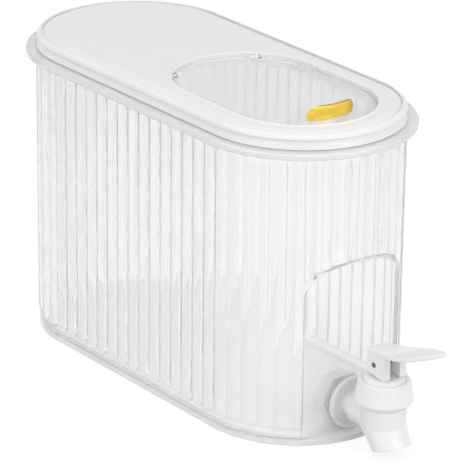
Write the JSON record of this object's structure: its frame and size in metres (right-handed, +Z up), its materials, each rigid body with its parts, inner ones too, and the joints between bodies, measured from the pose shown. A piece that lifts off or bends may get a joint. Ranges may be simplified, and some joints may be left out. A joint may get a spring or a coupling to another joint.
{
  "type": "water jug with tap",
  "caption": "Long clear ribbed water jug for a fridge shelf, with a lift-off white lid, a hinged fill flap with a gold handle, and a push-lever tap.",
  "frame": {"origin": "centre of the tank's flat bottom, on the surface it stands on", "axes": "+Z up, +Y along the tank away from the tap, so the tap is on the -Y end; +X to the right seen from the tap end"},
  "size_m": [0.118, 0.3106, 0.1704],
  "materials": {
    "clear_plastic": "clear gloss",
    "white_lid": "satin white",
    "white_tap": "moulded white",
    "silicone": "milky matt",
    "gold": "gold plated plastic, polished",
    "steel": "bright wire"
  },
  "bodies": {
    "base": {"tank": "clear_plastic", "tap_body": "white_tap", "outer_washer": "silicone", "inner_washer": "silicone", "lock_nut": "white_tap", "collar": "white_tap", "bonnet": "white_tap", "bonnet_seal": "silicone", "stem_seal": "silicone", "return_spring": "steel"},
    "lid": {"lid": "white_lid", "lid_gasket": "silicone", "cover_pin_left": "steel", "cover_pin_right": "steel"},
    "flap": {"fill_cover": "clear_plastic", "cover_handle": "gold"},
    "valve": {"valve_stem": "white_tap", "valve_plug": "silicone", "lever_pin": "steel"},
    "lever": {"lever": "white_tap"}
  },
  "joints": [
    {"name": "lid_lift", "type": "slide", "parent": "base", "child": "lid", "axis": [0, 0, 1], "range_m": [0, 0.06]},
    {"name": "flap_hinge", "type": "hinge", "parent": "lid", "child": "flap", "pos_m": [0, 0.0007, 0.1633], "axis": [-1, 0, 0], "range_deg": [0, 100]},
    {"name": "stem_lift", "type": "slide", "parent": "base", "child": "valve", "axis": [0, 0, 1], "range_m": [0, 0.00305], "deforming": ["return_spring"]},
    {"name": "lever_press", "type": "hinge", "parent": "valve", "child": "lever", "pos_m": [0, -0.1396, 0.048], "axis": [1, 0, 0], "range_deg": [0, 25], "stiffness_Nm_per_rad": 0.0637, "springref_deg": -20.17}
  ],
  "couplings": [
    {"joint": "lever_press", "follows": "stem_lift", "rad_per_m": 142.86}
  ]
}
